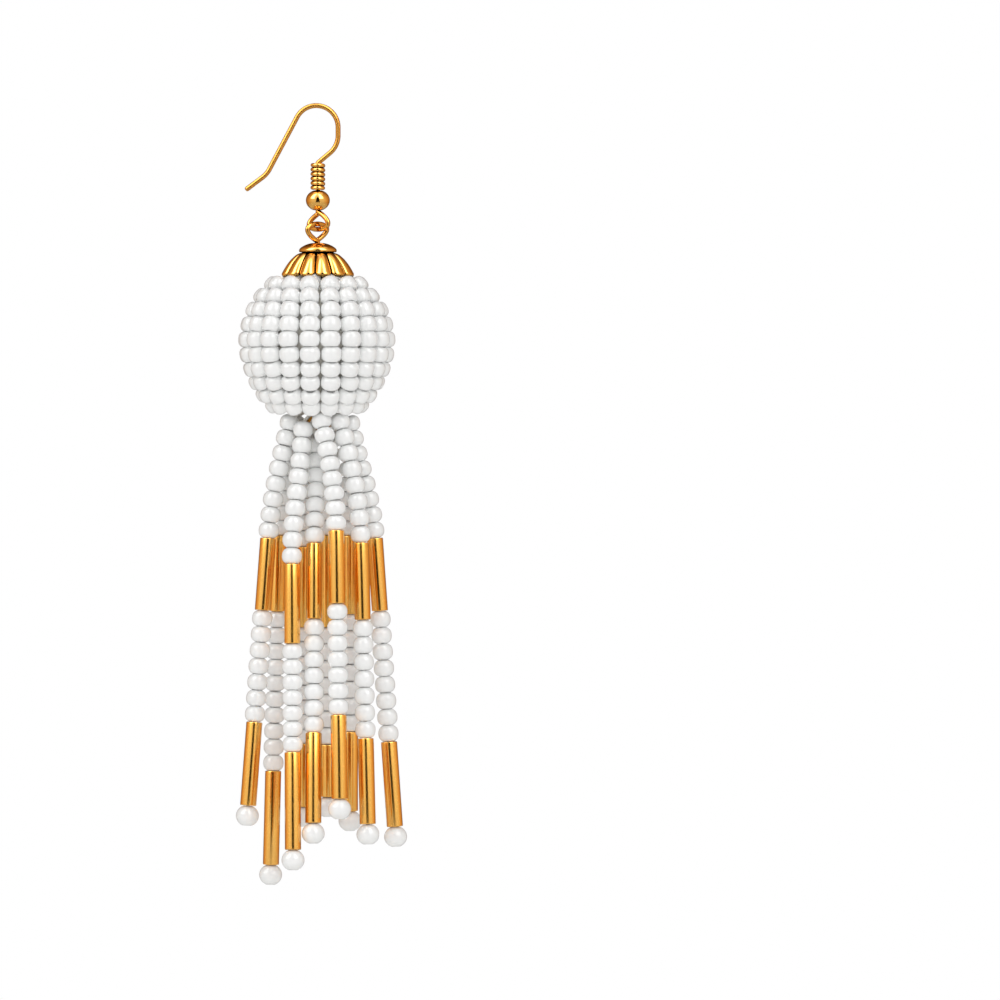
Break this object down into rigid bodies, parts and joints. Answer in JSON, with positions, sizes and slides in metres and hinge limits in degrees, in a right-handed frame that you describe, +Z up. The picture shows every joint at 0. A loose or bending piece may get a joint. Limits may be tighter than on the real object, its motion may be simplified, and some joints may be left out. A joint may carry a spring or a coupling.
{
  "type": "dangle earring",
  "caption": "Beaded dangle earring: a bent ear wire with coil and round bead, a fluted cap, a ball covered with seed beads, and a tassel of seed-bead and long bugle-bead strands.",
  "frame": {"origin": "underside of the top of the ear wire's bend, where it rests on the ear lobe", "axes": "+Z up, with the earring hanging down along -Z; -Y towards the viewer; +X to the right, away from the ear wire's shaft"},
  "size_m": [0.0239, 0.0222, 0.1096],
  "materials": {
    "gold_plate": "polished gold plate on brass, cast or drawn, glossy",
    "white_glass": "opaque white pressed glass, glossy",
    "gold_bugle": "drawn glass tube with a gold metallic coat, satin along its length",
    "core_wood": "turned wooden core, shaped like an egg, painted grey, matt",
    "thread": "waxed white beading thread, wound"
  },
  "bodies": {
    "hook": {"ear_wire": "gold_plate", "wire_coil": "gold_plate", "hook_bead": "gold_plate"},
    "drop": {"eye_pin": "gold_plate", "bead_cap": "gold_plate", "ball_core": "core_wood", "ball_net": "white_glass", "thread_collar": "thread", "strand_1": "white_glass", "strand_2": "white_glass", "strand_3": "white_glass", "strand_4": "white_glass", "strand_5": "white_glass", "strand_6": "white_glass", "strand_7": "white_glass", "strand_8": "white_glass", "strand_9": "white_glass", "strand_10": "white_glass", "bugle_upper_1": "gold_bugle", "bugle_upper_2": "gold_bugle", "bugle_upper_3": "gold_bugle", "bugle_upper_4": "gold_bugle", "bugle_upper_5": "gold_bugle", "bugle_upper_6": "gold_bugle", "bugle_upper_7": "gold_bugle", "bugle_upper_8": "gold_bugle", "bugle_upper_9": "gold_bugle", "bugle_upper_10": "gold_bugle", "bugle_lower_1": "gold_bugle", "bugle_lower_2": "gold_bugle", "bugle_lower_3": "gold_bugle", "bugle_lower_4": "gold_bugle", "bugle_lower_5": "gold_bugle", "bugle_lower_6": "gold_bugle", "bugle_lower_7": "gold_bugle", "bugle_lower_8": "gold_bugle", "bugle_lower_9": "gold_bugle", "bugle_lower_10": "gold_bugle", "end_bead_1": "white_glass", "end_bead_2": "white_glass", "end_bead_3": "white_glass", "end_bead_4": "white_glass", "end_bead_5": "white_glass", "end_bead_6": "white_glass", "end_bead_7": "white_glass", "end_bead_8": "white_glass", "end_bead_9": "white_glass", "end_bead_10": "white_glass"}
  },
  "joints": [
    {"name": "drop_swing", "type": "hinge", "parent": "hook", "child": "drop", "pos_m": [0.00022, 0, -0.01698], "axis": [0.809, -0.5878, 0], "range_deg": [-60, 60]}
  ]
}
